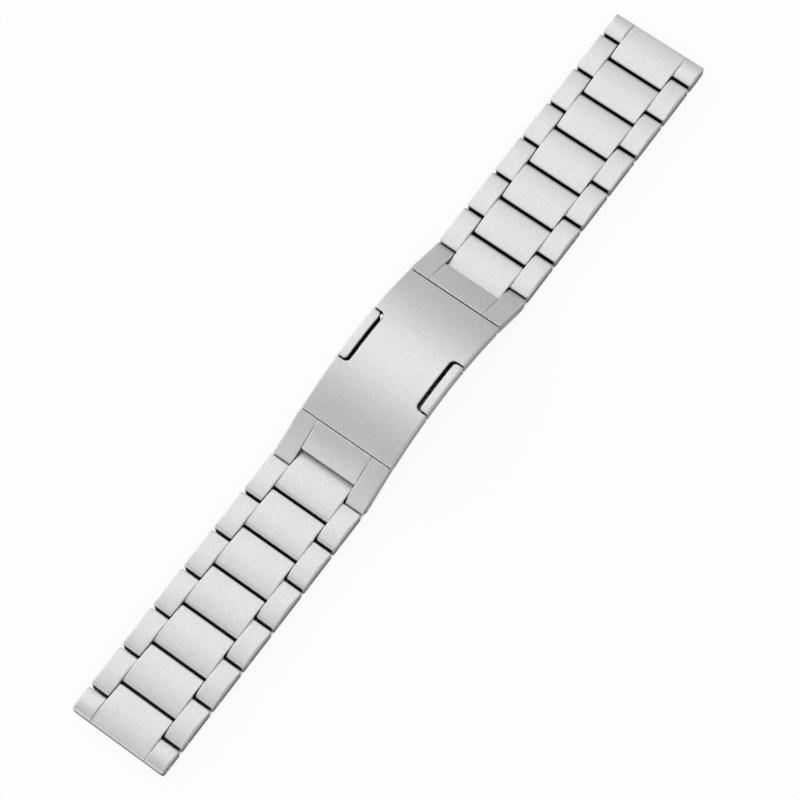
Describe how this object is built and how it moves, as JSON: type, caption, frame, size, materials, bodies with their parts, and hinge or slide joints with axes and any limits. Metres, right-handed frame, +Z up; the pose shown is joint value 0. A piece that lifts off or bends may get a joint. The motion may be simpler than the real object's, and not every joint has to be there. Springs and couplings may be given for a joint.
{
  "type": "titanium watch bracelet",
  "caption": "Three-row titanium link bracelet for a wristwatch, laid out flat, with a curved folding clasp that two side push buttons release.",
  "frame": {"origin": "on the table under the middle of the clasp, with the bracelet laid out flat", "axes": "+X across the bracelet, towards the right push button; +Y along it, towards the end link of the strand on the clasp's blades; +Z up through the clasp's cover"},
  "size_m": [0.022, 0.1844, 0.0114],
  "materials": {
    "titanium": "bead-blasted titanium, satin",
    "clasp_inside": "satin titanium",
    "steel": "drawn stainless steel"
  },
  "bodies": {
    "cover": {"cover": "titanium", "latch_housing": "clasp_inside", "inner_blade_pin": "steel", "cover_link_pin": "steel", "button_spring_right": "steel", "button_spring_left": "steel"},
    "button_right": {"button_right": "titanium"},
    "button_left": {"button_left": "titanium"},
    "inner_blade": {"inner_blade": "clasp_inside", "blade_fold_pin": "steel"},
    "outer_blade": {"outer_blade": "clasp_inside", "latch_post": "steel"},
    "blade_side_clasp_link": {"blade_side_clasp_link_sides": "titanium", "blade_side_clasp_link_centre": "titanium", "blade_side_clasp_link_pin": "steel", "outer_blade_pin": "steel"},
    "blade_side_link_1": {"blade_side_link_1_sides": "titanium", "blade_side_link_1_centre": "titanium", "blade_side_link_1_pin": "steel"},
    "blade_side_link_2": {"blade_side_link_2_sides": "titanium", "blade_side_link_2_centre": "titanium", "blade_side_link_2_pin": "steel"},
    "blade_side_link_3": {"blade_side_link_3_sides": "titanium", "blade_side_link_3_centre": "titanium", "blade_side_link_3_pin": "steel"},
    "blade_side_link_4": {"blade_side_link_4_sides": "titanium", "blade_side_link_4_centre": "titanium", "blade_side_link_4_pin": "steel"},
    "blade_side_link_5": {"blade_side_link_5_sides": "titanium", "blade_side_link_5_centre": "titanium", "blade_side_link_5_pin": "steel"},
    "blade_side_link_6": {"blade_side_link_6_sides": "titanium", "blade_side_link_6_centre": "titanium", "blade_side_link_6_pin": "steel"},
    "blade_side_end_link": {"blade_side_end_link_sides": "titanium", "blade_side_end_link_centre": "titanium"},
    "cover_side_clasp_link": {"cover_side_clasp_link_sides": "titanium", "cover_side_clasp_link_centre": "titanium", "cover_side_clasp_link_pin": "steel"},
    "cover_side_link_1": {"cover_side_link_1_sides": "titanium", "cover_side_link_1_centre": "titanium", "cover_side_link_1_pin": "steel"},
    "cover_side_link_2": {"cover_side_link_2_sides": "titanium", "cover_side_link_2_centre": "titanium", "cover_side_link_2_pin": "steel"},
    "cover_side_link_3": {"cover_side_link_3_sides": "titanium", "cover_side_link_3_centre": "titanium", "cover_side_link_3_pin": "steel"},
    "cover_side_link_4": {"cover_side_link_4_sides": "titanium", "cover_side_link_4_centre": "titanium", "cover_side_link_4_pin": "steel"},
    "cover_side_link_5": {"cover_side_link_5_sides": "titanium", "cover_side_link_5_centre": "titanium", "cover_side_link_5_pin": "steel"},
    "cover_side_link_6": {"cover_side_link_6_sides": "titanium", "cover_side_link_6_centre": "titanium", "cover_side_link_6_pin": "steel"},
    "cover_side_end_link": {"cover_side_end_link_sides": "titanium", "cover_side_end_link_centre": "titanium"}
  },
  "joints": [
    {"name": "cover_opening", "type": "hinge", "parent": "cover", "child": "inner_blade", "pos_m": [0, 0.01587, 0.00623], "axis": [1, 0, 0], "range_deg": [0, 85]},
    {"name": "blade_unfolding", "type": "hinge", "parent": "inner_blade", "child": "outer_blade", "pos_m": [0, -0.013, 0.00485], "axis": [-1, 0, 0], "range_deg": [0, 150]},
    {"name": "blade_side_clasp_link_hinge", "type": "hinge", "parent": "outer_blade", "child": "blade_side_clasp_link", "pos_m": [0, 0.01982, 0.00475], "axis": [1, 0, 0], "range_deg": [-40, 0]},
    {"name": "cover_side_clasp_link_hinge", "type": "hinge", "parent": "cover", "child": "cover_side_clasp_link", "pos_m": [0, -0.01587, 0.00623], "axis": [1, 0, 0], "range_deg": [0, 40]},
    {"name": "blade_side_link_1_hinge", "type": "hinge", "parent": "blade_side_clasp_link", "child": "blade_side_link_1", "pos_m": [0, 0.02607, 0.0016], "axis": [1, 0, 0], "range_deg": [-58, 0]},
    {"name": "blade_side_link_2_hinge", "type": "hinge", "parent": "blade_side_link_1", "child": "blade_side_link_2", "pos_m": [0, 0.03582, 0.0016], "axis": [1, 0, 0], "range_deg": [-30, 28]},
    {"name": "blade_side_link_3_hinge", "type": "hinge", "parent": "blade_side_link_2", "child": "blade_side_link_3", "pos_m": [0, 0.04557, 0.0016], "axis": [1, 0, 0], "range_deg": [-30, 28]},
    {"name": "blade_side_link_4_hinge", "type": "hinge", "parent": "blade_side_link_3", "child": "blade_side_link_4", "pos_m": [0, 0.05532, 0.0016], "axis": [1, 0, 0], "range_deg": [-30, 28]},
    {"name": "blade_side_link_5_hinge", "type": "hinge", "parent": "blade_side_link_4", "child": "blade_side_link_5", "pos_m": [0, 0.06507, 0.0016], "axis": [1, 0, 0], "range_deg": [-30, 28]},
    {"name": "blade_side_link_6_hinge", "type": "hinge", "parent": "blade_side_link_5", "child": "blade_side_link_6", "pos_m": [0, 0.07482, 0.0016], "axis": [1, 0, 0], "range_deg": [-30, 28]},
    {"name": "blade_side_end_link_hinge", "type": "hinge", "parent": "blade_side_link_6", "child": "blade_side_end_link", "pos_m": [0, 0.08457, 0.0016], "axis": [1, 0, 0], "range_deg": [-30, 28]},
    {"name": "cover_side_link_1_hinge", "type": "hinge", "parent": "cover_side_clasp_link", "child": "cover_side_link_1", "pos_m": [0, -0.02607, 0.0016], "axis": [1, 0, 0], "range_deg": [0, 58]},
    {"name": "cover_side_link_2_hinge", "type": "hinge", "parent": "cover_side_link_1", "child": "cover_side_link_2", "pos_m": [0, -0.03582, 0.0016], "axis": [-1, 0, 0], "range_deg": [-30, 28]},
    {"name": "cover_side_link_3_hinge", "type": "hinge", "parent": "cover_side_link_2", "child": "cover_side_link_3", "pos_m": [0, -0.04557, 0.0016], "axis": [-1, 0, 0], "range_deg": [-30, 28]},
    {"name": "cover_side_link_4_hinge", "type": "hinge", "parent": "cover_side_link_3", "child": "cover_side_link_4", "pos_m": [0, -0.05532, 0.0016], "axis": [-1, 0, 0], "range_deg": [-30, 28]},
    {"name": "cover_side_link_5_hinge", "type": "hinge", "parent": "cover_side_link_4", "child": "cover_side_link_5", "pos_m": [0, -0.06507, 0.0016], "axis": [-1, 0, 0], "range_deg": [-30, 28]},
    {"name": "cover_side_link_6_hinge", "type": "hinge", "parent": "cover_side_link_5", "child": "cover_side_link_6", "pos_m": [0, -0.07482, 0.0016], "axis": [-1, 0, 0], "range_deg": [-30, 28]},
    {"name": "cover_side_end_link_hinge", "type": "hinge", "parent": "cover_side_link_6", "child": "cover_side_end_link", "pos_m": [0, -0.08457, 0.0016], "axis": [-1, 0, 0], "range_deg": [-30, 28]},
    {"name": "button_right_press", "type": "slide", "parent": "cover", "child": "button_right", "axis": [-1, 0, 0], "range_m": [0, 0.0006], "stiffness_N_per_m": 1000, "springref_m": -0.0006, "deforming": ["button_spring_right"]},
    {"name": "button_left_press", "type": "slide", "parent": "cover", "child": "button_left", "axis": [1, 0, 0], "range_m": [0, 0.0006], "stiffness_N_per_m": 1000, "springref_m": -0.0006, "deforming": ["button_spring_left"]}
  ]
}
